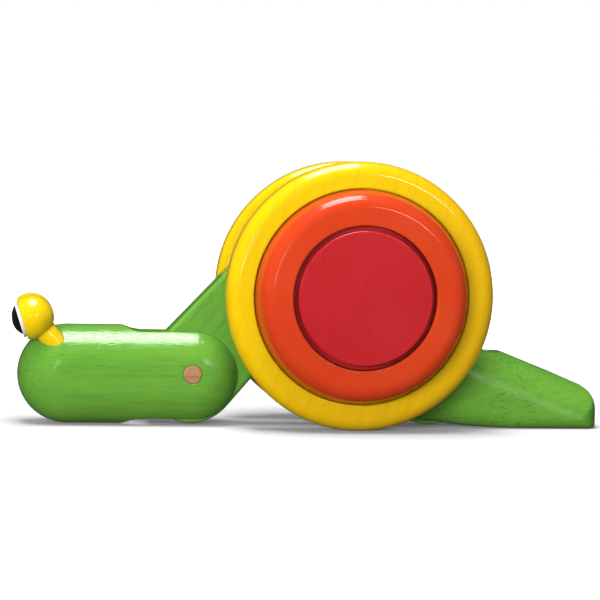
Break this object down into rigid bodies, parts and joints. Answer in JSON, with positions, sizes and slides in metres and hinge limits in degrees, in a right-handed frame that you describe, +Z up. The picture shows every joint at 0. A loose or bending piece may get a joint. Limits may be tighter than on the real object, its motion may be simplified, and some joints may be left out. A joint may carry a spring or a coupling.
{
  "type": "pull along toy",
  "caption": "Wooden pull-along snail whose head and tail hinge on a humped middle carried by a freely turning wheeled shell.",
  "frame": {"origin": "on the floor plane, at the centre of the toy's bounding box", "axes": "+Z up, nose towards -X, snail's left side towards -Y, wheel axle along Y"},
  "size_m": [0.3114, 0.109, 0.14],
  "materials": {
    "green_wood": "glossy lacquered stain over visible wood grain",
    "shell_yellow": "glossy lacquered stain over visible wood grain",
    "ring_orange": "glossy lacquered stain",
    "hub_red": "glossy lacquered stain",
    "natural_wood": "clear varnish",
    "eye_yellow": "glossy lacquer",
    "eye_white": "glossy",
    "pupil_black": "high gloss"
  },
  "bodies": {
    "hump": {"hump": "green_wood"},
    "head": {"head": "green_wood", "head_pin": "natural_wood", "left_eye": "eye_yellow", "right_eye": "eye_yellow", "left_eye_white": "eye_white", "right_eye_white": "eye_white", "left_pupil": "pupil_black", "right_pupil": "pupil_black"},
    "tail": {"tail": "green_wood", "tail_pin": "natural_wood"},
    "shell": {"axle": "natural_wood", "left_spacer": "natural_wood", "right_spacer": "natural_wood", "left_wheel": "shell_yellow", "right_wheel": "shell_yellow", "left_ring": "ring_orange", "right_ring": "ring_orange", "left_hub": "hub_red", "right_hub": "hub_red"}
  },
  "joints": [
    {"name": "wheel_spin", "type": "hinge", "parent": "hump", "child": "shell", "pos_m": [0.024, 0, 0.07], "axis": [0, 1, 0], "continuous": true},
    {"name": "head_hinge", "type": "hinge", "parent": "hump", "child": "head", "pos_m": [-0.0615, 0, 0.0275], "axis": [0, 1, 0], "range_deg": [-90, 50]},
    {"name": "tail_hinge", "type": "hinge", "parent": "hump", "child": "tail", "pos_m": [0.0655, 0, 0.0275], "axis": [0, -1, 0], "range_deg": [-90, 60]}
  ]
}
